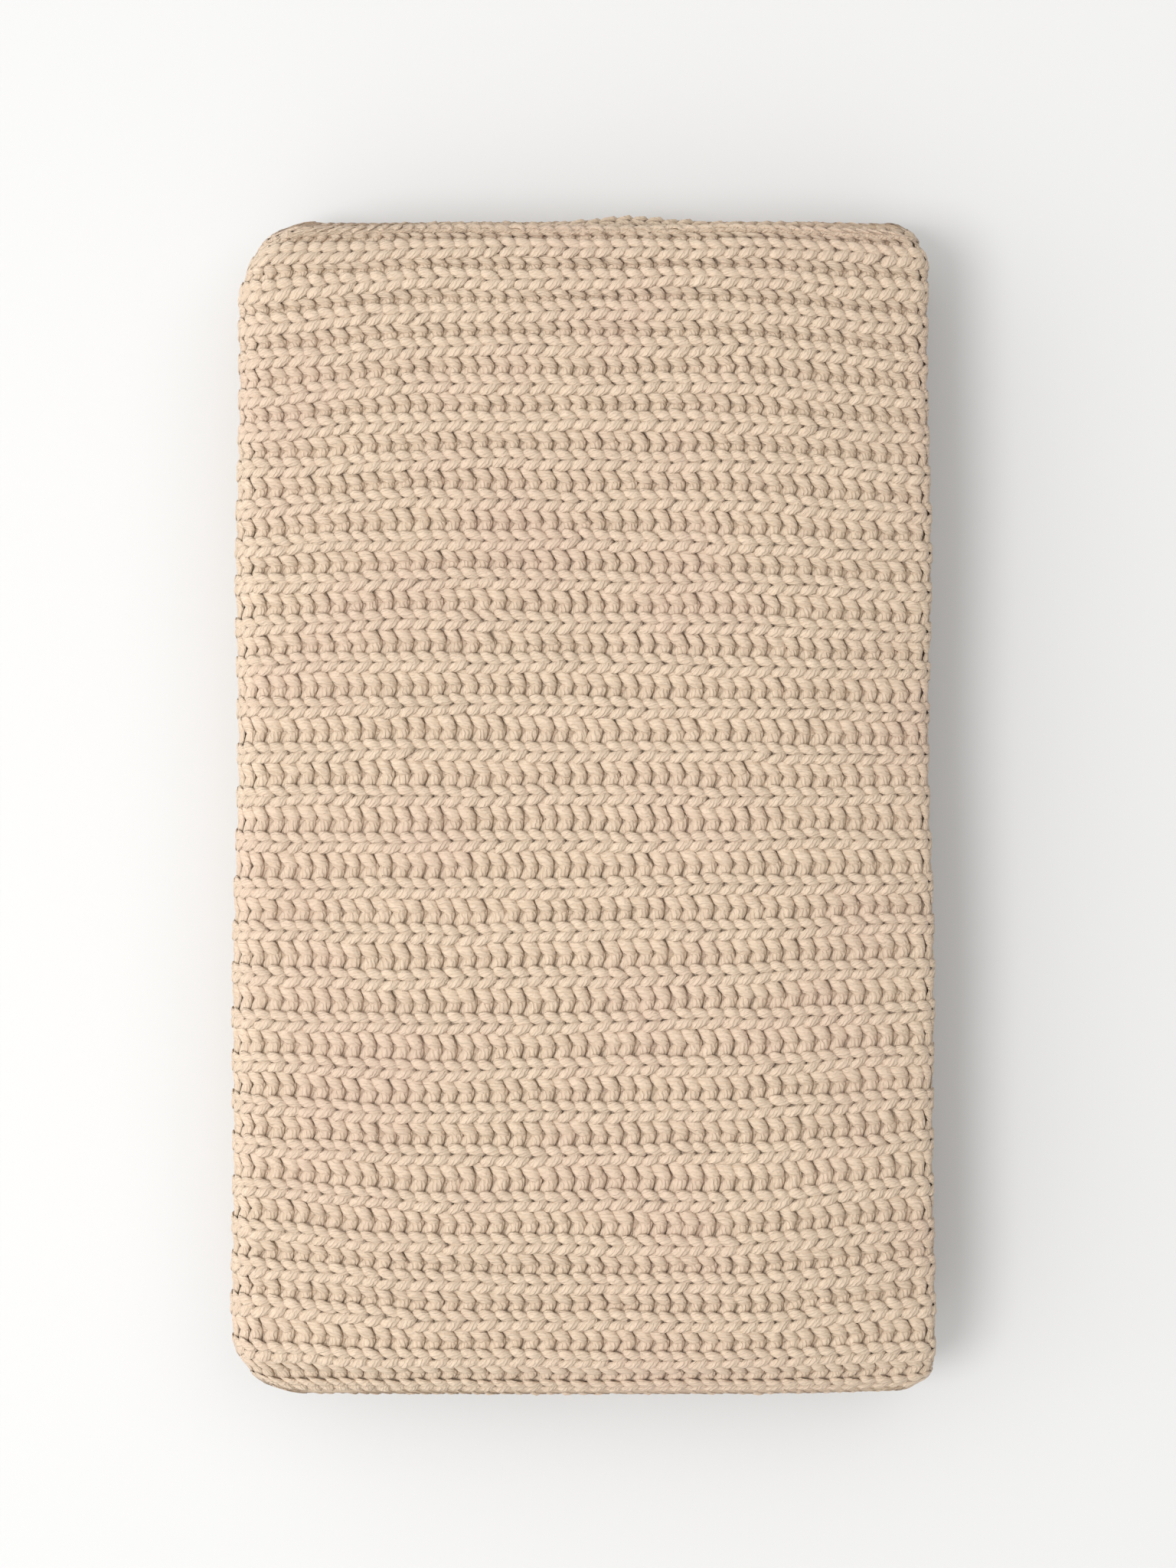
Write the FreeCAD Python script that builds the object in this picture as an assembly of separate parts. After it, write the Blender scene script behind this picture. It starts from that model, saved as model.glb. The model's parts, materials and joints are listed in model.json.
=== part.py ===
"""Folded knitted throw blanket.

One knitted panel, about 1.25 x 1.56 m when open. It is folded in quarters
across its width, which gives four plies. The four plies are then folded in
thirds along the length, to and fro like a Z, which gives twelve.

Each ply and each rolled fold is a solid of its own. The blanket lies on the
XY plane with its length along Y. The ribs of the knit run along X.

Bottom third: its roll is at +Y. Middle third: a roll at each end.
Top third: its roll is at -Y, and its cut end at +Y sits a little inside.
"""
import FreeCAD, Part
import math
import os

os.makedirs("parts", exist_ok=True)

# ---- driving dimensions, mm and degrees ----
FOLDED_WIDTH = 320.0       # X, over the folds
FOLDED_LENGTH = 535.0      # Y, over the rolls
PLY = 6.9                  # thickness of one knitted ply
PLIES = 4                  # plies in each third
HALF_GAP = 0.3             # clearance on each side of a length fold
TOP_END_INSET = 8.0        # free end of the top third, short of the roll tip
BOTTOM_END_INSET = 16.0    # free end of the bottom third, under the roll
EDGE_INSET = (1.0, 2.5)    # free side edges, short of the fold beside them
ROLL_SWEEP = 89.4          # each third carries half of a roll
LEFT_CORNER = 24.0         # plan radius of the corners on the soft side
RIGHT_CORNER = 10.0        # plan radius of the corners on the edge side

# ---- derived ----
THIRD = PLIES * PLY
ROLL = THIRD + HALF_GAP
LOWER_FOLD_Z = THIRD + HALF_GAP
UPPER_FOLD_Z = LOWER_FOLD_Z + THIRD + 2 * HALF_GAP
HEIGHT = UPPER_FOLD_Z + HALF_GAP + THIRD
HALF_W = FOLDED_WIDTH / 2
HALF_L = FOLDED_LENGTH / 2
LEFT_X = -HALF_W + 2 * PLY
RIGHT_X = HALF_W - PLY
ROLL_Y = HALF_L - ROLL


def vec(x, y, z):
    return FreeCAD.Vector(x, y, z)


def strip(x0, x1, z0, z1):
    """Cross-section of a flat ply in the XZ plane."""
    corners = [vec(x0, 0, z0), vec(x1, 0, z0), vec(x1, 0, z1), vec(x0, 0, z1)]
    return Part.Face(Part.makePolygon(corners + corners[:1]))


def half_ring(x, z, inner, outer, side):
    """Cross-section of a width fold: half a ring, open towards the plies."""
    edges = []
    for r in (inner, outer):
        if r > 0:
            low = vec(x, 0, z - r)
            out = vec(x + side * r, 0, z)
            high = vec(x, 0, z + r)
            edges.append(Part.Arc(low, out, high).toShape())
    if inner > 0:
        edges.append(Part.makeLine(vec(x, 0, z - outer), vec(x, 0, z - inner)))
        edges.append(Part.makeLine(vec(x, 0, z + inner), vec(x, 0, z + outer)))
    else:
        edges.append(Part.makeLine(vec(x, 0, z - outer), vec(x, 0, z + outer)))
    return Part.Face(Part.Wire(Part.__sortEdges__(edges)))


def plan_block():
    """Upright block with the blanket's rounded outline."""
    arcs = [
        (HALF_W, HALF_L, RIGHT_CORNER, 0),
        (-HALF_W, HALF_L, LEFT_CORNER, 90),
        (-HALF_W, -HALF_L, LEFT_CORNER, 180),
        (HALF_W, -HALF_L, RIGHT_CORNER, 270),
    ]
    edges = []
    ends = []
    for cx, cy, r, start in arcs:
        ox = cx - math.copysign(r, cx)
        oy = cy - math.copysign(r, cy)
        points = []
        for step in (0, 45, 90):
            a = math.radians(start + step)
            points.append(vec(ox + r * math.cos(a), oy + r * math.sin(a), -1))
        edges.append(Part.Arc(*points).toShape())
        ends.append((points[0], points[2]))
    for i, (first, last) in enumerate(ends):
        edges.append(Part.makeLine(last, ends[(i + 1) % 4][0]))
    face = Part.Face(Part.Wire(Part.__sortEdges__(edges)))
    return face.extrude(vec(0, 0, HEIGHT + 2))


OUTLINE = plan_block()


def lay(section, third):
    """Run a cross-section along the third, and round its rolls."""
    y0 = third["y0"]
    y1 = third["y1"]
    start = section.translated(vec(0, y0, 0))
    body = start.extrude(vec(0, y1 - y0, 0))
    above = third["z"]
    for end, fold_z in third["rolls"].items():
        y = y1 if end > 0 else y0
        # A ply above the fold line rolls down to it, one below rolls up.
        turn = -end if above > fold_z - THIRD / 2 else end
        face = section.translated(vec(0, y, 0))
        roll = face.revolve(vec(0, y, fold_z), vec(1, 0, 0), turn * ROLL_SWEEP)
        body = body.fuse(roll)
    body = body.common(OUTLINE).removeSplitter()
    return body.Solids[0] if len(body.Solids) == 1 else body


def build_third(name, third):
    """The four plies of a third, and the folds down its two sides."""
    z = third["z"]
    right = third["folded_pair"]
    spare = list(EDGE_INSET)
    shapes = {}
    for i in range(PLIES):
        # Ply 1 is the one that lies outermost in the open, folded panel.
        number = PLIES - i if third["face_up"] else i + 1
        x1 = RIGHT_X if i in right else HALF_W - spare.pop()
        section = strip(LEFT_X, x1, z + i * PLY, z + (i + 1) * PLY)
        shapes["ply_%d" % number] = lay(section, third)
    mid = z + 2 * PLY
    fold_mid = z + (right[0] + 1) * PLY
    shapes["outer_fold"] = lay(half_ring(LEFT_X, mid, PLY, 2 * PLY, -1), third)
    shapes["inner_fold"] = lay(half_ring(LEFT_X, mid, 0, PLY, -1), third)
    shapes["edge_fold"] = lay(half_ring(RIGHT_X, fold_mid, 0, PLY, 1), third)
    for part, shape in shapes.items():
        node = "%s_%s" % (name, part)
        shape.exportStep("parts/%s.step" % node)
        box = shape.BoundBox
        print(node, shape.ShapeType, shape.isValid(), round(shape.Volume / 1000, 2),
              [round(v, 2) for v in (box.XMin, box.YMin, box.ZMin, box.XMax, box.YMax, box.ZMax)])


THIRDS = {
    "bottom_third": {
        "z": 0.0,
        "y0": -HALF_L + BOTTOM_END_INSET,
        "y1": ROLL_Y,
        "rolls": {1: LOWER_FOLD_Z},
        "folded_pair": (2, 3),
        "face_up": True,
    },
    "middle_third": {
        "z": LOWER_FOLD_Z + HALF_GAP,
        "y0": -ROLL_Y,
        "y1": ROLL_Y,
        "rolls": {1: LOWER_FOLD_Z, -1: UPPER_FOLD_Z},
        "folded_pair": (0, 1),
        "face_up": False,
    },
    "top_third": {
        "z": UPPER_FOLD_Z + HALF_GAP,
        "y0": -ROLL_Y,
        "y1": HALF_L - TOP_END_INSET,
        "rolls": {-1: UPPER_FOLD_Z},
        "folded_pair": (2, 3),
        "face_up": True,
    },
}

for third_name, third_data in THIRDS.items():
    build_third(third_name, third_data)
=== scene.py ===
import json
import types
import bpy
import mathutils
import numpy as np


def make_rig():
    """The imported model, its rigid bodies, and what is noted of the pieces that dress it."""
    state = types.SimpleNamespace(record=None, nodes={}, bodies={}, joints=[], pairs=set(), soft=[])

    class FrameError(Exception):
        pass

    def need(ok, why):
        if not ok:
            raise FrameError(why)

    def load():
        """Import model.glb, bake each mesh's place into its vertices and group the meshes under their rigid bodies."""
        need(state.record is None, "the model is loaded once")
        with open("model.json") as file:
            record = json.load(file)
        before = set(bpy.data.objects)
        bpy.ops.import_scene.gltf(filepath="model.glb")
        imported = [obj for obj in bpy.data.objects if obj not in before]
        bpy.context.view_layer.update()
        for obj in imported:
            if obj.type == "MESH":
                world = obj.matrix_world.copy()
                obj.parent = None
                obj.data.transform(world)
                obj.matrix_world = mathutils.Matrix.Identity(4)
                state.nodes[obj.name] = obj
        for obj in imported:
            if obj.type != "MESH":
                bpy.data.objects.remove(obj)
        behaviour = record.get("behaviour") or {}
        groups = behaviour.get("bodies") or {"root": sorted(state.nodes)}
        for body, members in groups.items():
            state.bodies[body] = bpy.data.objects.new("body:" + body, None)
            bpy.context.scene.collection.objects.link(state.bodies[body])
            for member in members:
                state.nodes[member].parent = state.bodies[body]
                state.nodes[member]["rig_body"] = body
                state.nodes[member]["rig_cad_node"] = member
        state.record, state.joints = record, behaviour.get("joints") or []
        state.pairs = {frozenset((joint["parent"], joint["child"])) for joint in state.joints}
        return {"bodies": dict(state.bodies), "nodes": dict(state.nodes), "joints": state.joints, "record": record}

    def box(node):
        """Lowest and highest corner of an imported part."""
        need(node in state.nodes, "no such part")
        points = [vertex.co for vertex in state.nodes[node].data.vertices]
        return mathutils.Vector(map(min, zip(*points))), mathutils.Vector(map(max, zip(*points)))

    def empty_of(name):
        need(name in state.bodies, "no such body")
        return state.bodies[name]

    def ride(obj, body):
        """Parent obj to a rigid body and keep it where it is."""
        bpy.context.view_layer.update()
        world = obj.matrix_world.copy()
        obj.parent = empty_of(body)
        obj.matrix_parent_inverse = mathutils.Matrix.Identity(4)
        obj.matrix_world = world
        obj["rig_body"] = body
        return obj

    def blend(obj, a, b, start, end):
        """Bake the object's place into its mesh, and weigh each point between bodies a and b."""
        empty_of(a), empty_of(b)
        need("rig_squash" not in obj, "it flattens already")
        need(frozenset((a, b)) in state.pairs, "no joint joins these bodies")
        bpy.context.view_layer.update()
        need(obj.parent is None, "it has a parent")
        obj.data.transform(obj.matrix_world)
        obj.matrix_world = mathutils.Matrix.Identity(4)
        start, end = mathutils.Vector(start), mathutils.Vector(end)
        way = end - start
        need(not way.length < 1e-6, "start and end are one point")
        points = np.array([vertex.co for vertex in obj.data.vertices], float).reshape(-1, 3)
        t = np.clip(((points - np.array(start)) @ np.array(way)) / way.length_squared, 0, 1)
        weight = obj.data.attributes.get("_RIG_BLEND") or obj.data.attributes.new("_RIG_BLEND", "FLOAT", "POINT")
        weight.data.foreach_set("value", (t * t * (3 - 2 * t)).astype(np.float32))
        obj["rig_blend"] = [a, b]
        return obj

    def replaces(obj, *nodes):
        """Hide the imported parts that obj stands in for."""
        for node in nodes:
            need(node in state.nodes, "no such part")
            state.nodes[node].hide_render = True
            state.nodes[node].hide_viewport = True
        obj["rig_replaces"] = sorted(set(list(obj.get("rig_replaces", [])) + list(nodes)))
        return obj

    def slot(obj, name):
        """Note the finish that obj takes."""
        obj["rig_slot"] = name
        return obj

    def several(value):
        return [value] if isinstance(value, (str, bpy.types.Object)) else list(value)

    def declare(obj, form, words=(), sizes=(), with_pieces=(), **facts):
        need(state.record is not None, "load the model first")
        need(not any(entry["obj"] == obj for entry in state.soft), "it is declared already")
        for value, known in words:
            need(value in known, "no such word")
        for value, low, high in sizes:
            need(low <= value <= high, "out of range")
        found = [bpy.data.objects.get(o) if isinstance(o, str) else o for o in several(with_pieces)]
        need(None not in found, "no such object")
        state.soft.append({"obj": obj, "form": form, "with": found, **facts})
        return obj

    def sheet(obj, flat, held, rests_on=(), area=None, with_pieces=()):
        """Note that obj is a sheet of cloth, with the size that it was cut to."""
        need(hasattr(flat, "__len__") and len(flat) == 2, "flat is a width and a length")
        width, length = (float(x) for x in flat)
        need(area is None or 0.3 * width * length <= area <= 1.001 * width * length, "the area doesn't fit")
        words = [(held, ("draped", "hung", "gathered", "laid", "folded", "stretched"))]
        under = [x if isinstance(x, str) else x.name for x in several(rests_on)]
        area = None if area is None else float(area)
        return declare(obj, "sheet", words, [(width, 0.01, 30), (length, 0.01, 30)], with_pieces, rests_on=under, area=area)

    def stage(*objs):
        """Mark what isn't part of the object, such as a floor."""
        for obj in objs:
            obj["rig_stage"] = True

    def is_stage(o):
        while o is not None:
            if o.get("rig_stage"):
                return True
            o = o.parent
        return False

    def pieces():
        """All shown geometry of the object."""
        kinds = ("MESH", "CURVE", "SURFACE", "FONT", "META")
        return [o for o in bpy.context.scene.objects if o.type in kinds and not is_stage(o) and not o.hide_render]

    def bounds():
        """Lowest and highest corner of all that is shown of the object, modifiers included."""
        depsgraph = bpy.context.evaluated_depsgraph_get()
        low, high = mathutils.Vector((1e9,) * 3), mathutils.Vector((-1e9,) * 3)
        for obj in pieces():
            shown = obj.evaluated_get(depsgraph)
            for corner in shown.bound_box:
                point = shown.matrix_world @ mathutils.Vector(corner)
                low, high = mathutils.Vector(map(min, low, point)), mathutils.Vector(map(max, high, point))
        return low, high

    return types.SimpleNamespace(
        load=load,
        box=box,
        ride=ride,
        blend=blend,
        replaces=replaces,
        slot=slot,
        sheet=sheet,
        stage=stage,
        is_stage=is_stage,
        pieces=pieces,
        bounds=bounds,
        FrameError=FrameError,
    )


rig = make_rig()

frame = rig.load()

import json
import math

import bpy
import numpy as np
from mathutils import Vector

CAD_BOX = [list(corner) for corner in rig.bounds()]
MM = 1000                            # in the frame's metre; shapes below are in mm

# ------------------------------------------------------------ folded blanket
# X runs along the ribs and Y along the folded blanket. Each third is folded in
# four plies. The thirds lie in a Z: the lower fold is at +Y, the upper one at -Y.
HALF_W = CAD_BOX[1][0] * MM
HALF_L = CAD_BOX[1][1] * MM
HEIGHT = CAD_BOX[1][2] * MM
JOINTS = {j["name"]: j for j in frame["joints"]}
LOWER_Z = JOINTS["lower_length_fold"]["pos_m"][2] * MM
UPPER_Z = JOINTS["upper_length_fold"]["pos_m"][2] * MM
ROLL = LOWER_Z                       # outer radius of a length fold
GAP = 0.3                            # between two thirds
THIRD = ROLL - GAP                   # thickness of a third
PLY = THIRD / 4
LEFT_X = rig.box("top_third_ply_1")[0][0] * MM
RIGHT_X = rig.box("top_third_ply_1")[1][0] * MM
ROLL_Y = HALF_L - ROLL               # where the length folds start
TOP_END_SHORT = 2.0                  # room for the stitches of the top third's end
TOP_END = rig.box("top_third_ply_4")[1][1] * MM - TOP_END_SHORT
BOTTOM_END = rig.box("bottom_third_ply_1")[0][1] * MM
PLY_4_SHORT, PLY_3_SHORT = 1.0, 2.5  # their free edges stop this far inside the box
EDGE_4 = HALF_W - PLY_4_SHORT - PLY / 2    # centres of these rounded edges
EDGE_3 = HALF_W - PLY_3_SHORT - PLY / 2
EDGE_RUN = 9.0                       # stitches of ply 3's edge run this far in
CLOTH_SHORT = 1.5                    # the base cloth stops short of its stitches by this

# --------------------------------------------------------------------- knit
STITCH = 7.27                        # length of a V stitch, along the rib
CHAIN = 8.6                          # height of a chain of V stitches
ROLL_ARC = ROLL * math.pi / 2        # outer face of half a length fold
END_ARC = PLY * math.pi / 4          # outer face of half a rounded free end
ROLL_PITCH = 18.0                    # of the ribs on and next to a length fold
END_PITCH = 12.6                     # from the top third's last rib to its end
MEAN_PITCH = 18.6                    # of all the other ribs
PITCH_UNEVEN = 0.025                 # standard deviation, as a share of the pitch
# on the top third: pitch at the start, and its changes over shares of the length
TOP_PITCH = 16.7
TOP_PITCH_CHANGES = ((3.4, 0, 0.16), (-2.5, 0.4, 0.8), (-4.1, 0.75, 1.05))
RECESS_OVERLAP = 1.6                 # the bars between two ribs reach under both
BAR_OFFSET = 2.2                     # from a V stitch to the bar beside it
END_RAISED = 0.8                     # the chain of a free end stands out this far
END_NARROWED = 0.86                  # to fit it to the ply's thickness

# -------------------------------------------------------- lie of the stack
# side, radius of the corners in plan, |x| where their rounding starts
CORNERS = ((-1, 31.0, 20.0), (1, 15.0, 60.0))
DROOP = 1.05                         # how fully the top third's end curves down
DROOP_RUN = 24                       # and over what length
# the bulge past the top third's end, and the ramps along each axis that bound it
MEAN_BULGE, LONG_BULGE, SHORT_BULGE = 2.6, 1.5, 0.9
BULGE_X = (HALF_W, 110)
BULGE_Y = (215, 265)
BULGE_FROM_Z = (LOWER_Z + 1, LOWER_Z + 12)
BULGE_TO_Z = (60, 50)
# how far sides, ribs and top wander, and how long their waves are
SIDE_WANDER, RIB_WANDER, TOP_WANDER = 1.3, 1.6, 0.9
SIDE_WAVE, RIB_WAVE, TOP_WAVE = 260, 420, 300
SIDE_STRIP = 60                      # |x| from which sides wander and ribs bow
END_STRIP = 60                       # next to a length fold, ribs wander less
RIB_BOW = 0.028                      # of the distance from the middle
CROWN_FROM_Z = 20                    # the lower layers lie flat
# where the crown starts to fall towards an edge, as |x| or |y|, and by how much
LEFT_START, RIGHT_START, BROAD_START, END_START = 80.0, 55.0, 20, 200
LEFT_FALL, RIGHT_FALL, BROAD_FALL, END_FALL = 6.0, 12.0, 2.5, 4.0
END_FALL_RUN = 68
NEAR_WIDTH, FAR_NARROWING = 0.998, 0.022

# one seed for each use of chance
SIDE_SEED, RIB_SEED, TOP_SEED, PLUS_END_SEED, MINUS_END_SEED = 11, 12, 13, 71, 72
ROWS_SEED, KNIT_SEED, LOWER_CHAIN_SEED, UPPER_CHAIN_SEED = 40, 100, 327, 356


# ------------------------------------------------------------ small curves
def smooth(t):
    t = np.clip(t, 0, 1)
    return t * t * (3 - 2 * t)


def ramp(t, start, end):
    """0 before start, 1 past end and smooth between; start may be the greater."""
    return smooth((t - start) / (end - start))


SINES = 5
USUAL_PEAK = 2.6                     # of the sum of so many sines


def wave(a, b, seed, size):
    """Smooth noise, about -1 to 1, from sines of about the given length."""
    r = np.random.default_rng(seed)
    total = np.zeros_like(a)
    for _ in range(SINES):
        fa, fb = r.uniform(0.4, 1.5, 2) * r.choice([-1, 1], 2) / size * 2 * math.pi
        total += np.sin(fa * a + fb * b + r.uniform(0, 6.28)) * r.uniform(0.5, 1)
    return total / USUAL_PEAK


# ------------------------------------------------------- folded cross-sections
class Path:
    """A run of level lines and half circles in the XZ plane, with its outward side."""

    def __init__(self):
        self.parts = []
        self.length = 0.0

    def line(self, x0, x1, z, outward):
        """outward is +1 where the outer side is up, -1 where it is down."""
        self.add("line", abs(x1 - x0), (x0, z, math.copysign(1, x1 - x0), outward))

    def arc(self, cx, cz, r, start, turn, outward):
        """turn is +180 or -180 degrees; outward is +1 away from the centre."""
        self.add("arc", math.pi * r, (cx, cz, r, math.radians(start), math.radians(turn), outward))

    def add(self, kind, length, shape):
        self.parts.append((kind, self.length, length, shape))
        self.length += length

    def start(self, number):
        """Arc length at which a part starts."""
        return self.parts[number][1]

    def at(self, s, n):
        """Position (x, z) at arc length s and offset n along the outward side."""
        x, z = np.zeros_like(s), np.zeros_like(s)
        last = len(self.parts) - 1
        for i, (kind, begin, length, shape) in enumerate(self.parts):
            here = np.ones(s.shape, bool)
            if i > 0:
                here &= s >= begin
            if i < last:
                here &= s < begin + length
            u = (s[here] - begin) / length
            if kind == "line":
                x0, z0, direction, outward = shape
                x[here] = x0 + direction * u * length
                z[here] = z0 + outward * n[here]
            else:
                cx, cz, r, start, turn, outward = shape
                # a stitch at the end of the path may reach a little past it
                angle = start + np.clip(u, -0.5, 1.5) * turn
                x[here] = cx + (r + outward * n[here]) * np.cos(angle)
                z[here] = cz + (r + outward * n[here]) * np.sin(angle)
        return x, z


def wrap_path():
    """Outer face of a third: edge fold, ply 1 on top, side roll, ply 4, its free edge."""
    p = Path()
    p.arc(RIGHT_X, 3 * PLY, PLY, -90, 180, 1)
    p.line(RIGHT_X, LEFT_X, 4 * PLY, 1)
    p.arc(LEFT_X, 2 * PLY, 2 * PLY, 90, 180, 1)
    p.line(LEFT_X, EDGE_4, 0, -1)
    p.arc(EDGE_4, PLY / 2, PLY / 2, -90, 180, 1)
    return p


def edge_path():
    """Free edge of ply 3, between ply 4 and the edge fold."""
    p = Path()
    p.line(EDGE_3 - EDGE_RUN, EDGE_3, PLY, -1)
    p.arc(EDGE_3, 1.5 * PLY, PLY / 2, -90, 180, 1)
    p.line(EDGE_3, EDGE_3 - EDGE_RUN, 2 * PLY, 1)
    return p


def panel_path():
    """Mid-line of the whole folded panel, from the edge of ply 4 to the edge of ply 3."""
    p = Path()
    p.line(EDGE_4 + PLY / 2 - CLOTH_SHORT, LEFT_X, PLY / 2, -1)
    p.arc(LEFT_X, 2 * PLY, 1.5 * PLY, 270, -180, 1)
    p.line(LEFT_X, RIGHT_X, 3.5 * PLY, 1)
    p.arc(RIGHT_X, 3 * PLY, PLY / 2, 90, -180, 1)
    p.line(RIGHT_X, LEFT_X, 2.5 * PLY, -1)
    p.arc(LEFT_X, 2 * PLY, PLY / 2, 90, 180, -1)
    p.line(LEFT_X, EDGE_3 + PLY / 2 - CLOTH_SHORT, 1.5 * PLY, 1)
    return p


WRAP = wrap_path()
EDGE = edge_path()
PANEL = panel_path()
# where ply 1's face, the side roll, ply 4's face and its edge start on the wrap
S_TOP, S_LEFT, S_UNDER, S_EDGE = [WRAP.start(k) for k in (1, 2, 3, 4)]
# where plies 4, 1 and 2 end on the panel
PLY_4_END, PLY_1_END, PLY_2_END = [PANEL.start(k) for k in (1, 3, 5)]


# -------------------------------------------------------------- soft shape
# ramps along the wrap over which the ribs come to lie flat
ONTO_EDGE_FOLD = (S_TOP + 5, S_TOP - 9)
ONTO_SIDE_ROLL = (S_LEFT - 4, S_LEFT + 14)
OFF_SIDE_ROLL = (S_UNDER + 40, S_UNDER)
ONTO_FREE_EDGE = (S_EDGE - 10, S_EDGE + 4)
FLATTENED = 0.58                     # share of the relief that goes there
SUNK = 0.75                          # and how far the knit sinks with it


def lie_flat(s, n):
    """Pulled round the side folds and the free edge, the ribs lie flatter."""
    flat = ramp(s, *ONTO_EDGE_FOLD) + ramp(s, *ONTO_FREE_EDGE)
    flat += ramp(s, *ONTO_SIDE_ROLL) * ramp(s, *OFF_SIDE_ROLL)
    return n - np.clip(flat, 0, 1) * (FLATTENED * n + SUNK)


def settle(x, y, z):
    """Gives the stack its soft, uneven lie."""
    # above the lower fold the stack bulges unevenly past the top third's free end
    bulge = MEAN_BULGE + LONG_BULGE * np.sin(x / 38 + 0.9) + SHORT_BULGE * np.sin(x / 13)
    bulge *= ramp(z, *BULGE_FROM_Z) * ramp(z, *BULGE_TO_Z)
    y = y + bulge * ramp(y, *BULGE_Y) * ramp(np.abs(x), *BULGE_X)
    # sides and ribs wander
    strip = np.clip((np.abs(x) - SIDE_STRIP) / (HALF_W - SIDE_STRIP), 0, 1) ** 2
    x = x + strip * SIDE_WANDER * wave(y, z * 2.5, SIDE_SEED, SIDE_WAVE) * np.sign(x)
    inside = ramp(np.abs(y), HALF_L, HALF_L - END_STRIP)
    y = y + inside * RIB_WANDER * wave(x, y, RIB_SEED, RIB_WAVE)
    # ribs bow towards the middle at both sides
    y = y - inside * RIB_BOW * y * ramp(np.abs(x), SIDE_STRIP, HALF_W)
    high = ramp(z, CROWN_FROM_Z, HEIGHT)
    z = z + high * inside * TOP_WANDER * wave(x, y, TOP_SEED, TOP_WAVE)
    # the top is a soft crown that falls away to every edge
    start = np.where(x > 0, RIGHT_START, LEFT_START)
    fall = np.where(x > 0, RIGHT_FALL, LEFT_FALL)
    fall = fall * np.clip((np.abs(x) - start) / (HALF_W - start), 0, 1.1) ** 2
    fall += BROAD_FALL * np.clip((np.abs(x) - BROAD_START) / (HALF_W - BROAD_START), 0, 1) ** 2
    fall += END_FALL * np.clip((np.abs(y) - END_START) / END_FALL_RUN, 0, 1) ** 2
    z = z - high * fall
    # and the stack is a little narrower at its far end
    x = x * (NEAR_WIDTH - FAR_NARROWING * (y + HALF_L) / (2 * HALF_L))
    return np.stack([x, y, z], axis=-1)


class Third:
    """One third of the blanket's length. Its v runs towards +Y, over the knit's face."""

    def __init__(self, name, z, up, minus, plus, end):
        """minus and plus are (fold plane, side of it) at either end, or None at the free one."""
        self.name = name
        self.z = z
        self.up = up                # ply 1 is uppermost
        self.minus = minus
        self.plus = plus
        self.y_low = -HALF_L if minus else end
        self.y_high = HALF_L if plus else end
        self.flat_low = -ROLL_Y if minus else end + PLY / 2
        self.flat_high = ROLL_Y if plus else end - PLY / 2
        self.v0 = ROLL_ARC if minus else END_ARC
        self.v1 = self.v0 + self.flat_high - self.flat_low
        self.v_high = self.v1 + (ROLL_ARC if plus else END_ARC)

    def place(self, path, s, v, n):
        """Position over a path's outer side: v along the third, n outwards."""
        y = self.flat_low + (v - self.v0)
        if path is WRAP:
            n = lie_flat(s, n)
        n_in = n
        turns = {}
        for side, roll, edge, past in ((-1, self.minus, self.flat_low, self.v0 - v),
                                       (1, self.plus, self.flat_high, v - self.v1)):
            over = past > 0
            radius = ROLL if roll else PLY / 2
            phi = np.where(over, past, 0) / radius
            if roll:
                turns[side] = (roll, over, phi)
                y = np.where(over, edge + side * ROLL * np.sin(phi), y)
            else:
                y = np.where(over, edge + side * (radius + n) * np.sin(phi), y)
                n_in = np.where(over, (radius + n) * np.cos(phi) - radius, n_in)
        x, z = path.at(s, n_in)
        z = self.z + (z if self.up else THIRD - z)
        for side, ((plane, sign), over, phi) in turns.items():
            # layers far from the fold's plane curve down to it, and the near ones stay
            h = sign * (z - plane)
            near = ramp(h, 13, 5)
            outer = np.clip((h - ROLL / 2) / (ROLL / 2), 0, None)
            z = np.where(over, plane + sign * h * (np.cos(phi) * (1 - near) + near), z)
            y = np.where(over, y + side * (h - ROLL) * np.sin(phi) * outer, y)
        return self.lie(x, y, z)

    def place_end(self, side, s, b, n):
        """Position over a free end: s along the folded panel, b across its ply, n outwards."""
        end = self.flat_high + PLY / 2 if side > 0 else self.flat_low - PLY / 2
        # plies 2 and 3 reach a little further than ply 1, and ply 4 less far
        reach = 1.3 * ramp(s, PLY_1_END, PLY_1_END + 25) - 0.6 * ramp(s, PLY_2_END, PLY_2_END + 25)
        reach -= 0.8 * ramp(s, PLY_4_END + 30, PLY_4_END - 10)
        reach += 0.8 * wave(s, s * 0, PLUS_END_SEED if side > 0 else MINUS_END_SEED, 160)
        x, z = PANEL.at(s, b)
        z = self.z + (z if self.up else THIRD - z)
        return self.lie(x, end + side * (n + reach), z)

    def lie(self, x, y, z):
        """Rounds the corners in plan, lets the top third's end droop and settles it all."""
        for side, tip in ((-1, self.y_low), (1, self.y_high)):
            d = np.clip(side * (tip - y), 0, None)
            for hand, radius, start in CORNERS:
                q = np.clip(radius - d, 0, radius)
                cut = radius - np.sqrt(np.clip(radius ** 2 - q ** 2, 0, None))
                x = x - hand * cut * np.clip((hand * x - start) / (HALF_W - start), 0, 1.05) ** 1.6
        if self is TOP:
            d = np.clip(y - ROLL_Y, 0, DROOP_RUN)
            z = z - DROOP * (ROLL - np.sqrt(ROLL ** 2 - d ** 2))
        return settle(x, y, z)


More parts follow.
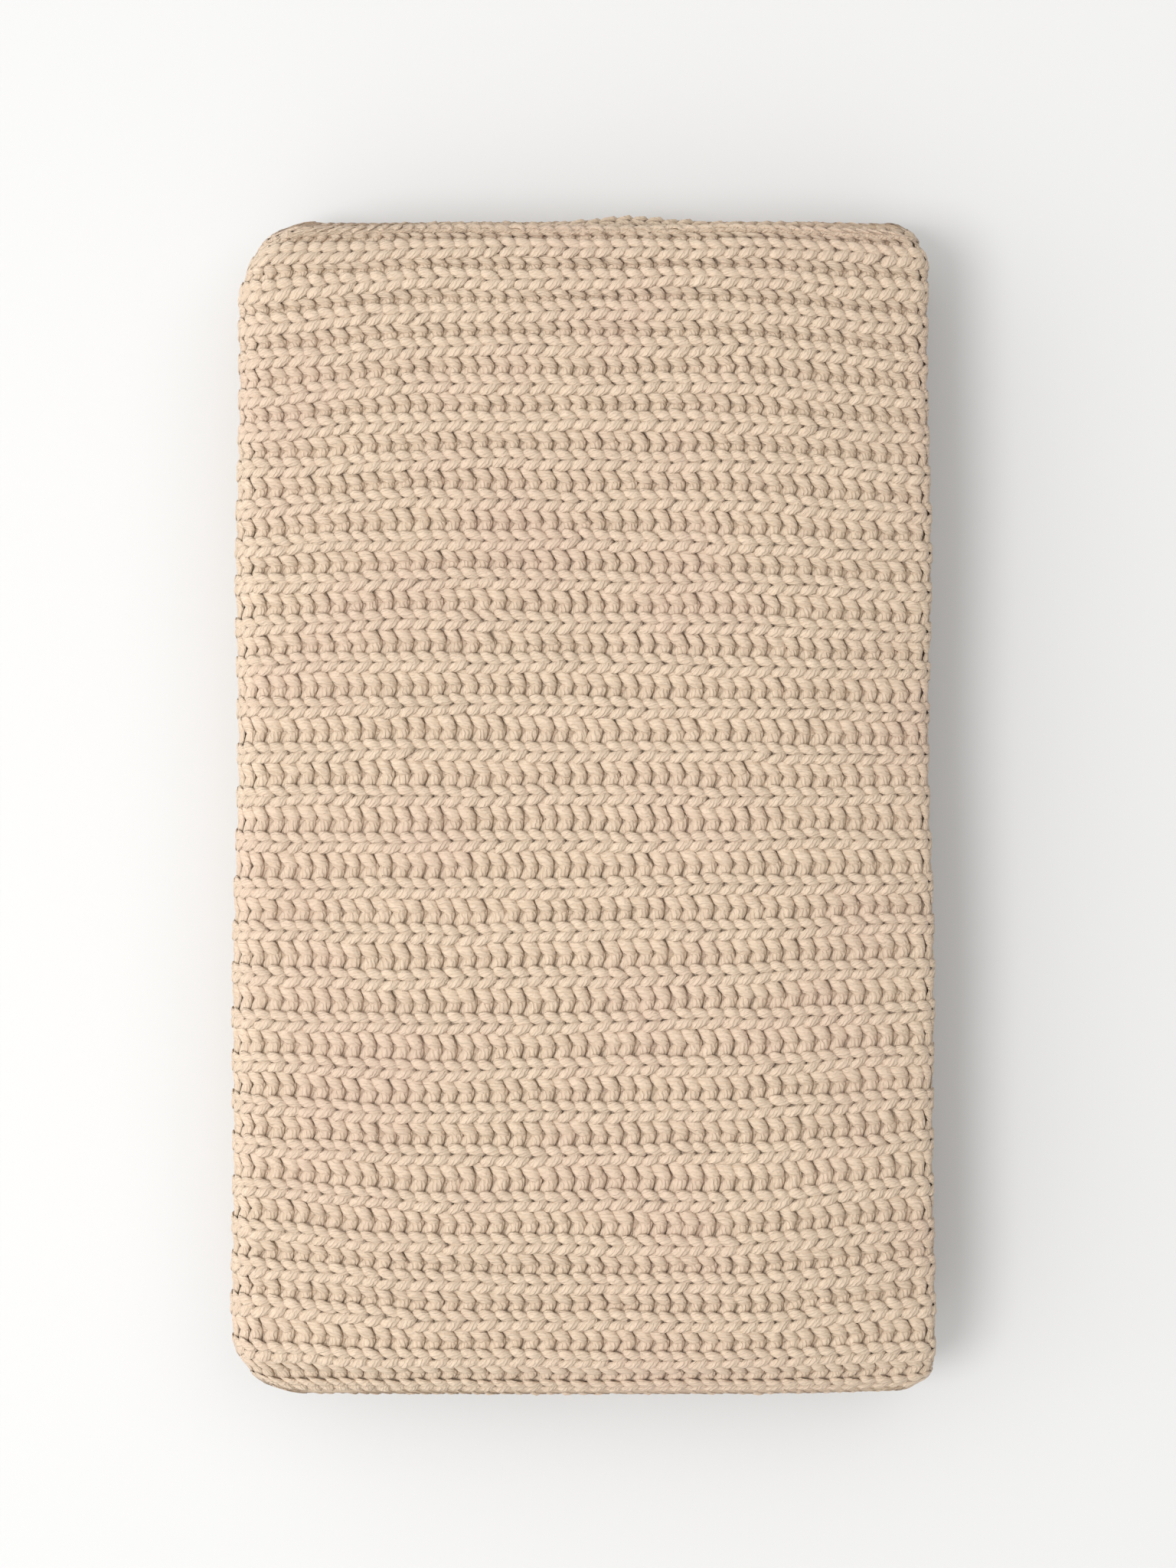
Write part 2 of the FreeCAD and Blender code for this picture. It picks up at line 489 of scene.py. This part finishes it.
BOTTOM = Third("bottom_third", 0.0, True, None, (LOWER_Z, -1), BOTTOM_END)
MIDDLE = Third("middle_third", LOWER_Z + GAP, False, (UPPER_Z, -1), (LOWER_Z, 1), None)
TOP = Third("top_third", UPPER_Z + GAP, True, (UPPER_Z, 1), None, TOP_END)
THIRDS = [BOTTOM, MIDDLE, TOP]

# ----------------------------------------------------------- yarn templates
# Points of a leaf of yarn: along the rib, across it, outwards, radius across, radius up.
LEG = [(-4.3, 3.15, -2.9, 1.1, 0.9), (-3.3, 3.1, -1.5, 1.95, 1.15), (-1.7, 2.75, -0.8, 2.3, 1.35),
       (0.1, 2.15, -0.6, 2.4, 1.4), (1.9, 1.45, -0.85, 2.25, 1.3), (3.5, 0.9, -1.5, 1.85, 1.15),
       (5.1, 0.5, -2.7, 1.1, 0.9)]
LOWER_LEG = [(a, -b, n, r, q) for a, b, n, r, q in LEG]
BAR_HALF = 5.4                       # half the recess height that the bars are drawn for
BAR_HIGH = [(-4.6, 6.5, -3.6, 1.8, 1.2), (-3.3, 5.2, -2.9, 2.6, 1.6), (-1.2, 3.2, -2.7, 3.1, 1.9),
            (1.0, 0.9, -3.0, 3.0, 1.9), (2.0, -1.1, -4.2, 2.3, 1.5)]
BAR_LOW = [(2.3, 1.2, -5.2, 2.3, 1.5), (1.6, -1.0, -4.1, 2.9, 1.9), (0.3, -3.0, -3.5, 3.1, 1.9),
           (-1.6, -5.0, -3.4, 2.75, 1.6), (-3.4, -6.6, -3.9, 1.9, 1.2)]
# a flat pad of knit behind the chain of a free end
PAD = [(-5.0, 0.0, -3.0, 3.6, 1.2), (0.0, 0.0, -2.7, 3.7, 1.6), (5.0, 0.0, -3.0, 3.6, 1.2)]
LEAVES = {"leg": LEG, "lower_leg": LOWER_LEG, "bar_high": BAR_HIGH, "bar_low": BAR_LOW, "pad": PAD}
DETAIL = {"high": (7, 8), "mid": (5, 6), "low": (4, 4)}    # rings, sides
TIP = 0.6                            # a leaf's pointed tip, of its last radius


def leaf(points, rings, sides):
    """A closed tube round the points: its vertices, their yarn coordinates, quads and tips."""
    p = np.array(points, float)
    u = np.linspace(0, 1, rings)
    c = np.stack([np.interp(u, np.linspace(0, 1, len(p)), p[:, k]) for k in range(5)], axis=-1)
    line = c[:, :3]
    tangent = np.gradient(line, axis=0)
    tangent /= np.linalg.norm(tangent, axis=1)[:, None]
    across = np.stack([-tangent[:, 1], tangent[:, 0], np.zeros(rings)], axis=-1)
    across /= np.linalg.norm(across, axis=1)[:, None]
    up = np.cross(tangent, across)
    theta = np.linspace(0, 2 * math.pi, sides, endpoint=False)
    ring = (line[:, None, :]
            + c[:, 3, None, None] * np.cos(theta)[None, :, None] * across[:, None, :]
            + c[:, 4, None, None] * np.sin(theta)[None, :, None] * up[:, None, :])
    run = np.concatenate([[0], np.cumsum(np.linalg.norm(np.diff(line, axis=0), axis=1))])
    tips = np.array([line[0] - tangent[0] * c[0, 3] * TIP, line[-1] + tangent[-1] * c[-1, 3] * TIP])
    verts = np.vstack([ring.reshape(-1, 3), tips])
    info = np.stack([np.tile(np.cos(theta), rings), np.tile(np.sin(theta), rings),
                     np.repeat(run, sides)], axis=-1)
    info = np.vstack([info, [[0, 0, 0], [0, 0, run[-1]]]])
    k = np.arange(sides)
    k1 = (k + 1) % sides
    quads = np.vstack([np.stack([r * sides + k, r * sides + k1, (r + 1) * sides + k1,
                                 (r + 1) * sides + k], axis=-1) for r in range(rings - 1)])
    first, last = rings * sides, rings * sides + 1
    base = (rings - 1) * sides
    tris = np.vstack([np.stack([k1, k, np.full(sides, first)], axis=-1),
                      np.stack([base + k, base + k1, np.full(sides, last)], axis=-1)])
    return verts, info, quads, tris


TEMPLATES = {(kind, detail): leaf(points, *DETAIL[detail])
             for kind, points in LEAVES.items() for detail in DETAIL}


def make_object(name, points, faces, attributes, material):
    """A smooth-shaded object from points in metres and arrays of quads or triangles."""
    mesh = bpy.data.meshes.new(name)
    mesh.vertices.add(len(points))
    mesh.vertices.foreach_set("co", points.astype(np.float32).ravel())
    corners = np.concatenate([f.ravel() for f in faces])
    sizes = np.concatenate([np.full(len(f), f.shape[1]) for f in faces])
    mesh.loops.add(len(corners))
    mesh.loops.foreach_set("vertex_index", corners.astype(np.int32))
    mesh.polygons.add(len(sizes))
    mesh.polygons.foreach_set("loop_start", (np.cumsum(sizes) - sizes).astype(np.int32))
    mesh.polygons.foreach_set("use_smooth", np.ones(len(sizes), bool))
    mesh.update(calc_edges=True)
    for key, values in attributes.items():
        attribute = mesh.attributes.new(key, "FLOAT_VECTOR", "POINT")
        attribute.data.foreach_set("vector", values.astype(np.float32).ravel())
    mesh.materials.append(material)
    obj = bpy.data.objects.new(name, mesh)
    bpy.context.scene.collection.objects.link(obj)
    return obj


class Bag:
    """Collects many leaves of yarn into one mesh."""

    SHIFT = 40                       # along the yarn, so that no two leaves look the same

    def __init__(self):
        self.points, self.yarn, self.tone, self.quads, self.tris = [], [], [], [], []
        self.count = 0

    def add(self, template, mapped, depth, shade, start, mirrored):
        """mapped holds every leaf's vertices; shade and start have one value per leaf."""
        _, info, quads, tris = template
        leaves, m = mapped.shape[:2]
        offset = self.count + np.arange(leaves)[:, None, None] * m
        turn = slice(None, None, -1 if mirrored else 1)
        self.quads.append((quads[None] + offset).reshape(-1, 4)[:, turn])
        self.tris.append((tris[None] + offset).reshape(-1, 3)[:, turn])
        self.points.append(mapped.reshape(-1, 3))
        yarn = np.broadcast_to(info[None], (leaves, m, 3)).copy()
        yarn[:, :, 2] += (start * self.SHIFT)[:, None]
        self.yarn.append(yarn.reshape(-1, 3))
        # the first value is each leaf's random tone; the second, the yarn's depth, sets its painted shade
        tone = np.stack([np.broadcast_to(shade[:, None], (leaves, m)), depth,
                         np.zeros((leaves, m))], axis=-1)
        self.tone.append(tone.reshape(-1, 3))
        self.count += leaves * m

    def build(self, name):
        return make_object(name, np.vstack(self.points) / MM,
                           [np.vstack(self.quads), np.vstack(self.tris)],
                           {"yarn": np.vstack(self.yarn), "tone": np.vstack(self.tone)}, YARN)


# ------------------------------------------------------------------ stitches
# unevenness of the hand of the knit, as standard deviations
STRETCH, ALONG, ACROSS, RAISED, TWIST, LUMP = 0.05, 0.28, 0.2, 0.16, 0.05, 0.12
SHADE = 0.18


def inside_out(verts, quads):
    """True if the mapping mirrors the leaf, so that its faces would point inwards."""
    q = verts[quads]
    normal = np.cross(q[:, 2] - q[:, 0], q[:, 3] - q[:, 1])
    return float((normal * (q.mean(1) - verts.mean(0))).sum()) < 0


def stitches(bag, kind, detail, s, v, stretch, mapper, rng):
    """Lays one leaf at every (s, v). stretch widens it across the rib."""
    template = TEMPLATES[kind, detail]
    verts, _, quads, _ = template
    jitter = rng.normal(0, 1, (len(s), 6))
    a = verts[None, :, 0] * (1 + STRETCH * jitter[:, 3, None]) + ALONG * jitter[:, 0, None]
    b = verts[None, :, 1] * stretch + ACROSS * jitter[:, 1, None] + TWIST * jitter[:, 4, None] * a
    h = verts[None, :, 2] + RAISED * jitter[:, 2, None]
    # soft spun yarn is a little lumpy
    a = a + rng.normal(0, LUMP, a.shape)
    b = b + rng.normal(0, LUMP, a.shape)
    h = h + rng.normal(0, LUMP, a.shape)
    mapped = mapper(s[:, None] - a, v[:, None] + b, h)
    bag.add(template, mapped, h, 0.5 + SHADE * jitter[:, 5], rng.uniform(0, 1, len(s)),
            inside_out(mapped[0], quads))


def lay_chain(bag, detail, s, v, stretch, mapper, rng):
    """A chain of V stitches, each of two legs."""
    for kind in ("leg", "lower_leg"):
        stitches(bag, kind, detail, s, v, stretch, mapper, rng)


def rows(third, rng):
    """v of every rib, with the tips of its folds or ends as the first and the last."""
    lead = ROLL_PITCH * np.arange(4)
    first = list(lead) if third.minus else [0.0]
    if third is TOP:
        last = [third.v_high - END_PITCH, third.v_high]
    else:
        last = list(third.v_high - lead[::-1])
    gap = last[0] - first[-1]
    count = int(round(gap / MEAN_PITCH))
    t = (np.arange(count) + 0.5) / count
    if third is TOP:
        # ribs crowd together towards both ends
        pitch = TOP_PITCH + sum(change * ramp(t, *over) for change, *over in TOP_PITCH_CHANGES)
    else:
        pitch = 19.0 + 1.5 * np.sin(t * 5)
    pitch = pitch * (1 + PITCH_UNEVEN * rng.normal(0, 1, count))
    pitch *= gap / pitch.sum()
    return np.array(first + list(first[-1] + np.cumsum(pitch)[:-1]) + last)


ROWS = {third: rows(third, np.random.default_rng(ROWS_SEED + i)) for i, third in enumerate(THIRDS)}


def drift(s, row):
    """How far a rib wanders off its straight line."""
    return 0.45 * np.sin(s / 21 + row * 2.1) + 0.3 * np.sin(s / 8.3 + row * 4.4)


def lay_rows(bag, third, path, detail, places, rng, chains, recesses):
    """V stitches on the given rows, and bars between each given row and the next."""
    v_rows = ROWS[third]

    def mapper(s, v, n):
        return third.place(path, s, v, n)

    def shifted(row):
        return places + 1.1 * math.sin(1.7 * row + third.z) + 0.5 * math.sin(0.61 * row)

    for row in chains:
        s = shifted(row)
        lay_chain(bag, detail, s, v_rows[row] + drift(s, row), 1.0, mapper, rng)
    for row in recesses:
        height = v_rows[row + 1] - v_rows[row] - CHAIN + RECESS_OVERLAP
        s = shifted(row) + BAR_OFFSET
        v = (v_rows[row] + v_rows[row + 1]) / 2 + 0.5 * (drift(s, row) + drift(s, row + 1))
        for kind in ("bar_low", "bar_high"):
            stitches(bag, kind, detail, s, v, height / 2 / BAR_HALF, mapper, rng)


# ---------------------------------------------------------------- materials
# the yarn's own colour, and a darker, browner colour painted as shade where yarn lies deep and between strands and
# fibres
LIGHT_YARN = (0.655, 0.537, 0.421)
SHADED_YARN = (0.572, 0.446, 0.33)
STRANDS = 6.0                        # round the yarn
STRAND_PITCH = 2.6                   # mm of yarn from one strand to the next
STRAND_WOBBLE = 9.0                  # radians that noise shifts them by
FIBRE_TWIST = 0.42                   # radians of the fibres' turn to a mm of yarn
FIBRE_ROUND, FIBRE_ALONG = 1.35, 0.13    # scales of their noise round and along the yarn


def tinted(colour, r, g, b):
    return (colour[0] * r, colour[1] * g, colour[2] * b)


def math_node(tree, operation, *values):
    n = tree.nodes.new("ShaderNodeMath")
    n.operation = operation
    for socket, value in zip(n.inputs, values):
        if isinstance(value, (int, float)):
            socket.default_value = value
        else:
            tree.links.new(value, socket)
    return n.outputs[0]


def mix_colour(tree, factor, a, b):
    n = tree.nodes.new("ShaderNodeMix")
    n.data_type = "RGBA"
    n.clamp_factor = True
    for socket, value in ((n.inputs[0], factor), (n.inputs[6], a), (n.inputs[7], b)):
        if isinstance(value, tuple):
            socket.default_value = (*value, 1)
        else:
            tree.links.new(value, socket)
    return n.outputs[2]


def remap(tree, value, from_low, from_high, to_low, to_high):
    n = tree.nodes.new("ShaderNodeMapRange")
    n.interpolation_type = "SMOOTHSTEP"
    tree.links.new(value, n.inputs[0])
    for socket, limit in zip(n.inputs[1:5], (from_low, from_high, to_low, to_high)):
        socket.default_value = limit
    return n.outputs[0]


def noise(tree, vector, scale, detail, roughness=0.5, distortion=0.0):
    n = tree.nodes.new("ShaderNodeTexNoise")
    n.inputs["Scale"].default_value = scale
    n.inputs["Detail"].default_value = detail
    n.inputs["Roughness"].default_value = roughness
    n.inputs["Distortion"].default_value = distortion
    tree.links.new(vector, n.inputs["Vector"])
    return n.outputs["Fac"]


def bump(tree, height, strength, distance, normal=None):
    n = tree.nodes.new("ShaderNodeBump")
    n.inputs["Strength"].default_value = strength
    n.inputs["Distance"].default_value = distance
    tree.links.new(height, n.inputs["Height"])
    if normal:
        tree.links.new(normal, n.inputs["Normal"])
    return n.outputs[0]


def attribute_axes(tree, name):
    attribute = tree.nodes.new("ShaderNodeAttribute")
    attribute.attribute_name = name
    split = tree.nodes.new("ShaderNodeSeparateXYZ")
    tree.links.new(attribute.outputs["Vector"], split.inputs[0])
    return split.outputs


def strands(tree, theta, run, wobble):
    """0 to 1 across the strands that wind round the yarn."""
    phase = math_node(tree, "ADD", math_node(tree, "MULTIPLY", theta, STRANDS),
                      math_node(tree, "MULTIPLY", run, 2 * math.pi / STRAND_PITCH))
    phase = math_node(tree, "ADD", phase, math_node(tree, "MULTIPLY", wobble, STRAND_WOBBLE))
    return math_node(tree, "MULTIPLY_ADD", math_node(tree, "SINE", phase), 0.5, 0.5)


def fibres(tree, theta, run):
    """Noise drawn out along the twist of the yarn."""
    angle = math_node(tree, "ADD", theta, math_node(tree, "MULTIPLY", run, FIBRE_TWIST))
    at = tree.nodes.new("ShaderNodeCombineXYZ")
    for socket, value in zip(at.inputs, (
        math_node(tree, "MULTIPLY", math_node(tree, "COSINE", angle), FIBRE_ROUND),
        math_node(tree, "MULTIPLY", math_node(tree, "SINE", angle), FIBRE_ROUND),
        math_node(tree, "MULTIPLY", run, FIBRE_ALONG),
    )):
        tree.links.new(value, socket)
    return noise(tree, at.outputs[0], scale=2.4, detail=3.0, roughness=0.62, distortion=0.4)


def yarn_material(name, light, shaded):
    material = bpy.data.materials.new(name)
    material.use_nodes = True
    tree = material.node_tree
    bsdf = tree.nodes["Principled BSDF"]
    bsdf.inputs["Roughness"].default_value = 0.92
    bsdf.inputs["Specular IOR Level"].default_value = 0.18
    bsdf.inputs["Sheen Weight"].default_value = 0.2
    bsdf.inputs["Sheen Roughness"].default_value = 0.45
    bsdf.inputs["Sheen Tint"].default_value = (1.0, 0.9, 0.78, 1)

    cosine, sine, run = attribute_axes(tree, "yarn")
    leaf_shade, depth, _ = attribute_axes(tree, "tone")
    place = tree.nodes.new("ShaderNodeTexCoord").outputs["Object"]
    theta = math_node(tree, "ARCTAN2", sine, cosine)
    wobble = noise(tree, place, scale=330.0, detail=2.0)
    strand = strands(tree, theta, run, wobble)
    fibre = fibres(tree, theta, run)
    fuzz = noise(tree, place, scale=1300.0, detail=3.0)
    broad = noise(tree, place, scale=14.0, detail=3.0)

    # painted shade: deeper yarn is painted darker and browner; painted shade between strands and fibres, and painted
    # highlights where they catch the light
    # the colour of the painted highlights
    highlight = tinted(light, 1.14, 1.14, 1.15)
    # painted highlights where the strands crest, patchy along the yarn
    glint = math_node(tree, "MULTIPLY", remap(tree, strand, 0.7, 1.0, 0.0, 0.55),
                      remap(tree, wobble, 0.42, 0.58, 0.15, 1.0))
    # painted shade: the deeper the yarn lies, the more of the shaded colour it gets
    colour = mix_colour(tree, remap(tree, depth, -5.2, -0.3, 0.0, 1.0), shaded, light)
    for factor, tint in (
        # painted shade between strands and between fibres
        (remap(tree, strand, 0.0, 0.55, 0.22, 0.0), tinted(shaded, 0.92, 0.88, 0.82)),
        (remap(tree, fibre, 0.36, 0.52, 0.36, 0.0), tinted(shaded, 0.95, 0.9, 0.85)),
        # painted highlights on fibres and on strand crests
        (remap(tree, fibre, 0.5, 0.62, 0.0, 0.72), highlight),
        (glint, highlight),
        (remap(tree, leaf_shade, 0.0, 1.0, 0.0, 0.22), tinted(light, 0.86, 0.83, 0.82)),
        (remap(tree, broad, 0.42, 0.7, 0.0, 0.5), tinted(light, 0.97, 0.9, 0.93)),
    ):
        colour = mix_colour(tree, factor, colour, tint)
    tree.links.new(colour, bsdf.inputs["Base Color"])

    normal = bump(tree, strand, strength=0.6, distance=0.0006)
    normal = bump(tree, fibre, strength=0.65, distance=0.0007, normal=normal)
    normal = bump(tree, fuzz, strength=0.4, distance=0.0002, normal=normal)
    tree.links.new(normal, bsdf.inputs["Normal"])
    return material


YARN = yarn_material("beige_yarn", LIGHT_YARN, SHADED_YARN)


# --------------------------------------------------------------- base cloth
RIB_HALF = 3.4                       # how far a rib lifts the cloth on either side
RIB_RISE = 2.0
CLOTH_DEPTH = 1.0                    # between ribs, inside the panel's mid-line
CLOTH_RIPPLE = 0.25                  # under each V stitch
CLOTH_SHADE_DEPTH = -3.6                    # painted as dark as yarn at this depth: painted shade between the ribs
CLOTH_END = 1.2                      # the cloth runs this far round a free end
CLOTH_STEP = 7                       # round the folds
CLOTH_ROWS = {TOP: 270, MIDDLE: 180, BOTTOM: 180}


def cloth(third):
    """The folded panel of one third as an open sheet, with the ribs' relief."""
    s = np.concatenate([np.linspace(begin, begin + length, max(6, int(length / CLOTH_STEP)),
                                    endpoint=False)
                        for _, begin, length, _ in PANEL.parts] + [[PANEL.length]])
    low = CLOTH_SHORT if third.minus else END_ARC - CLOTH_END
    high = third.v_high - (CLOTH_SHORT if third.plus else END_ARC - CLOTH_END)
    v = np.linspace(low, high, CLOTH_ROWS[third])
    ss, vv = [grid.ravel() for grid in np.meshgrid(s, v, indexing="ij")]
    # the cloth rises under every rib
    rise = RIB_RISE * np.exp(-(np.abs(vv[:, None] - ROWS[third]).min(axis=-1) / RIB_HALF) ** 2)
    angle = ss * 2 * math.pi / STITCH
    points = third.place(PANEL, ss, vv, CLOTH_RIPPLE * np.sin(angle) - CLOTH_DEPTH + rise)
    i, j = np.meshgrid(np.arange(len(s) - 1), np.arange(len(v) - 1), indexing="ij")
    quads = np.stack([i * len(v) + j, (i + 1) * len(v) + j, (i + 1) * len(v) + j + 1,
                      i * len(v) + j + 1], axis=-1).reshape(-1, 4)
    # painted shade: the cloth is coloured as deep yarn, less so where a rib lifts it
    attributes = {"yarn": np.stack([np.cos(angle), np.sin(angle), vv], axis=-1),
                  "tone": np.stack([np.full(len(vv), 0.5), CLOTH_SHADE_DEPTH + rise,
                                    np.zeros(len(vv))], axis=-1)}
    return make_object(third.name + "_panel", points / MM, [quads], attributes, YARN)


# ------------------------------------------------------------- build thirds
def grid(start, stop):
    """Places of the stitches from start to stop, in step all round the panel."""
    return np.arange(math.ceil(start / STITCH), math.floor(stop / STITCH) + 1) * STITCH


# the zones of a third's outer face, in order round it
ZONES = {
    "edge_fold": grid(-4, S_TOP - 0.1),
    "face_1": grid(S_TOP, S_LEFT - 0.1),
    "side_roll": grid(S_LEFT, S_UNDER - 0.1),
    "face_4": grid(S_UNDER, S_EDGE - 0.1),
    "free_edge": grid(S_EDGE, WRAP.length + 3),
}
# only the top third's upper side is seen from close by
ZONE_DETAIL = {zone: "low" if zone in ("face_1", "face_4") else "mid" for zone in ZONES}
TOP_DETAIL = {**ZONE_DETAIL, "face_1": "high", "side_roll": "high"}
# big faces are split across the ribs, to keep each piece light
ZONE_PARTS = {"face_1": 2, "face_4": 2}
TOP_PARTS = {"face_1": 4, "face_4": 2}


def knit_zones(third, rng):
    """The stitches over a third's outer face, as one or more pieces for each zone."""
    last = len(ROWS[third]) - 1
    for zone, places in ZONES.items():
        detail = (TOP_DETAIL if third is TOP else ZONE_DETAIL)[zone]
        parts = (TOP_PARTS if third is TOP else ZONE_PARTS).get(zone, 1)
        for k in range(parts):
            start, stop = last * k // parts, last * (k + 1) // parts
            bag = Bag()
            lay_rows(bag, third, WRAP, detail, places, rng,
                     chains=range(start + 1, min(stop, last - 1) + 1), recesses=range(start, stop))
            number = "_%d" % (k + 1) if parts > 1 else ""
            yield bag.build("%s_knit_%s%s" % (third.name, zone, number))


def inner_edge(third, rng):
    """The stitches round ply 3's free edge."""
    last = len(ROWS[third]) - 1
    bag = Bag()
    lay_rows(bag, third, EDGE, "low", grid(2, EDGE.length - 2), rng,
             chains=range(1, last), recesses=range(last))
    return bag.build(third.name + "_inner_edge")


def end_chain(third, side, rng):
    """The chain of V stitches that closes a free end, on its pad of knit."""
    def mapper(s, v, n):
        return third.place_end(side, s, v, n + END_RAISED)

    places = grid(2, PANEL.length - 2)
    middle = 0.25 * np.sin(places / 17.0)
    bag = Bag()
    lay_chain(bag, "mid", places, middle, END_NARROWED, mapper, rng)
    stitches(bag, "pad", "mid", places, middle, 1.0, mapper, rng)
    return bag.build(third.name + "_end_chain")


def fold_chain(name, third, row, places, seed):
    """The rib along a length fold's tip, which bends with the fold."""
    def mapper(s, v, n):
        return third.place(WRAP, s, v, n)

    bag = Bag()
    v = np.full(len(places), ROWS[third][row])
    lay_chain(bag, "high", places, v, 1.0, mapper, np.random.default_rng(seed))
    return bag.build(name)


panels = {}
stitched = {}
for index, third in enumerate(THIRDS):
    rng = np.random.default_rng(KNIT_SEED + index)
    pieces = [*knit_zones(third, rng), inner_edge(third, rng)]
    if not (third.minus and third.plus):
        pieces.append(end_chain(third, 1 if third.minus else -1, rng))
    panel = cloth(third)
    for obj in pieces + [panel]:
        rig.ride(obj, third.name)
        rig.slot(obj, "knit")
    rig.replaces(panel, *[n for n in frame["nodes"] if n.startswith(third.name + "_")])
    panels[third] = panel
    stitched[third] = pieces

# the outer face at the roll is ply 1 on the top third and ply 4 on the bottom one
upper_chain = fold_chain("upper_fold_chain", TOP, 0, grid(S_TOP - 9, S_LEFT + 12),
                         UPPER_CHAIN_SEED)
lower_chain = fold_chain("lower_fold_chain", BOTTOM, -1, grid(S_UNDER - 12, S_EDGE + 5),
                         LOWER_CHAIN_SEED)
BLEND_HALF = 0.006                   # metres above and below the hinge
for chain, below, above, y, z in ((upper_chain, MIDDLE, TOP, -HALF_L / MM, UPPER_Z / MM),
                                  (lower_chain, BOTTOM, MIDDLE, HALF_L / MM, LOWER_Z / MM)):
    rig.slot(chain, "knit")
    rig.blend(chain, below.name, above.name, start=(0, y, z - BLEND_HALF), end=(0, y, z + BLEND_HALF))
    stitched[above].append(chain)

# metres; together the thirds make one panel
FLAT_WIDTH = 1.251
FLAT_LENGTH = {BOTTOM: 0.5132, MIDDLE: 0.5235, TOP: 0.5212}
RESTS_ON = {BOTTOM: [], MIDDLE: [panels[BOTTOM]], TOP: [panels[MIDDLE]]}
for third in THIRDS:
    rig.sheet(panels[third], flat=(FLAT_WIDTH, FLAT_LENGTH[third]), held="folded",
             rests_on=RESTS_ON[third], with_pieces=stitched[third])


# ---------------------------------------------------- floor, light, camera, m
FLOOR_HALF = 15.0
FLOOR_Z = -0.0006
CAMERA_HEIGHT = 1.25                 # above the top of the stack
SENSOR = 36.0
VIEW_LENGTH = 0.706                  # seen along the frame's long side
VIEW_DEPTH = 0.020                   # as far below the top as this


def floor():
    size = FLOOR_HALF
    mesh = bpy.data.meshes.new("floor")
    mesh.from_pydata([(-size, -size, 0), (size, -size, 0), (size, size, 0), (-size, size, 0)], [],
                     [(0, 1, 2, 3)])
    material = bpy.data.materials.new("pale_floor")
    material.use_nodes = True
    bsdf = material.node_tree.nodes["Principled BSDF"]
    bsdf.inputs["Base Color"].default_value = (0.68, 0.695, 0.715, 1)
    bsdf.inputs["Roughness"].default_value = 0.9
    bsdf.inputs["Specular IOR Level"].default_value = 0.1
    mesh.materials.append(material)
    obj = bpy.data.objects.new("floor", mesh)
    bpy.context.scene.collection.objects.link(obj)
    obj.location.z = FLOOR_Z
    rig.stage(obj)


def area_light(name, location, size, power, colour):
    """A round soft light, aimed at the middle of the stack."""
    data = bpy.data.lights.new(name, "AREA")
    data.shape = "DISK"
    data.size = size
    data.energy = power
    data.color = colour
    obj = bpy.data.objects.new(name, data)
    bpy.context.scene.collection.objects.link(obj)
    obj.location = location
    obj.rotation_mode = "QUATERNION"
    obj.rotation_quaternion = (Vector((0, 0, 0.05)) - Vector(location)).to_track_quat("-Z", "Y")


def room():
    """Even light from all round, brighter on the left, where the window is."""
    world = bpy.data.worlds.new("studio")
    bpy.context.scene.world = world
    world.use_nodes = True
    tree = world.node_tree
    background = tree.nodes["Background"]
    background.inputs[0].default_value = (1.0, 0.967, 0.92, 1)
    direction = tree.nodes.new("ShaderNodeTexCoord")
    axes = tree.nodes.new("ShaderNodeSeparateXYZ")
    tree.links.new(direction.outputs["Generated"], axes.inputs[0])
    strength = tree.nodes.new("ShaderNodeMapRange")
    for socket, value in zip(strength.inputs[1:5], (-1.0, 1.0, 1.5, 0.3)):
        socket.default_value = value
    tree.links.new(axes.outputs[0], strength.inputs[0])
    tree.links.new(strength.outputs[0], background.inputs[1])


def camera():
    data = bpy.data.cameras.new("camera")
    data.sensor_width = SENSOR
    data.lens = SENSOR * (CAMERA_HEIGHT + VIEW_DEPTH) / VIEW_LENGTH
    data.clip_start = 0.01
    data.clip_end = 50
    obj = bpy.data.objects.new("camera", data)
    bpy.context.scene.collection.objects.link(obj)
    obj.location = (0.0020, 0.0085, 0.084 + CAMERA_HEIGHT)
    bpy.context.scene.camera = obj


floor()
area_light("key", (-1.0, -0.3, 2.4), 1.0, 28, (1.0, 0.995, 0.985))
area_light("left", (-1.3, -0.1, 0.6), 0.8, 2.2, (1.0, 0.99, 0.97))
area_light("fill", (0.9, 0.7, 2.3), 1.8, 7.8, (1.0, 0.99, 0.97))
room()
camera()

look = bpy.context.scene.view_settings
look.view_transform = "Standard"
look.look = "None"
look.exposure = 0.0

with open("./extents.json", "w") as f:
    json.dump({"cad": CAD_BOX, "visual": [list(corner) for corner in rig.bounds()]}, f)
